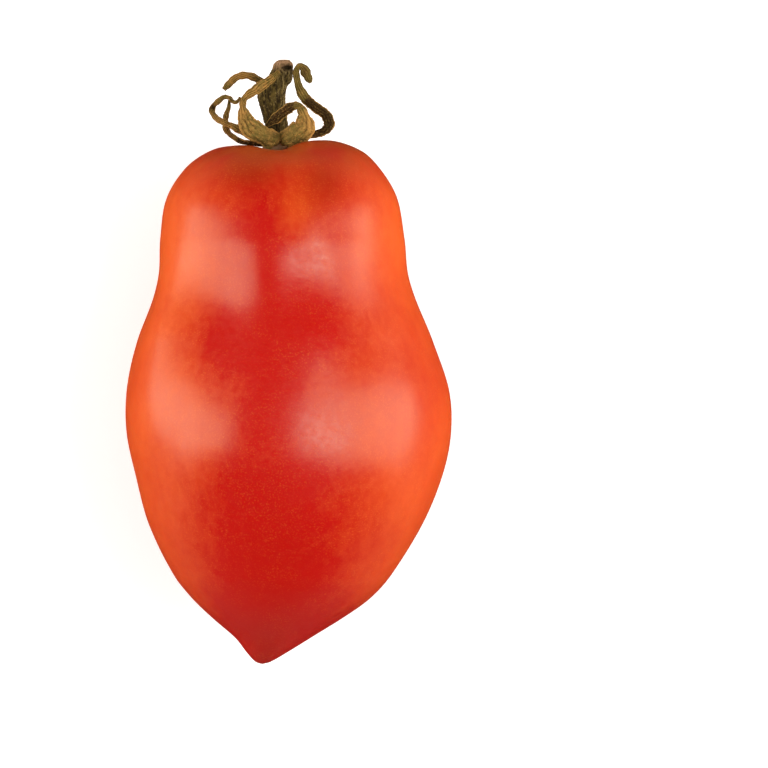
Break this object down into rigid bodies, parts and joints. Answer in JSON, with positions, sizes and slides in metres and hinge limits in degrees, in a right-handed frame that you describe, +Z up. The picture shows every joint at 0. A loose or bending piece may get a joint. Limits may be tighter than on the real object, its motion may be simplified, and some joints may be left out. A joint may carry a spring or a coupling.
{
  "type": "san marzano tomato",
  "caption": "Whole elongated plum tomato with a narrow shoulder, full lower half, pointed tip, ribbed stalk and curled dried sepals, lying on its side.",
  "frame": {"origin": "middle of the part's footprint, on the surface that it rests on", "axes": "+Y along the fruit towards the stalk, +Z up from the surface, +X to the right when seen from above with the stalk at the top"},
  "size_m": [0.0407, 0.0751, 0.0356],
  "materials": {
    "tomato_skin": "satin",
    "dry_stalk": "matte",
    "dry_sepal": "matte"
  },
  "bodies": {
    "root": {"fruit": "tomato_skin", "stalk": "dry_stalk", "sepal_front_left": "dry_sepal", "sepal_front_right": "dry_sepal", "sepal_right": "dry_sepal", "sepal_back": "dry_sepal", "sepal_left_outer": "dry_sepal", "sepal_left_inner": "dry_sepal"}
  },
  "joints": []
}
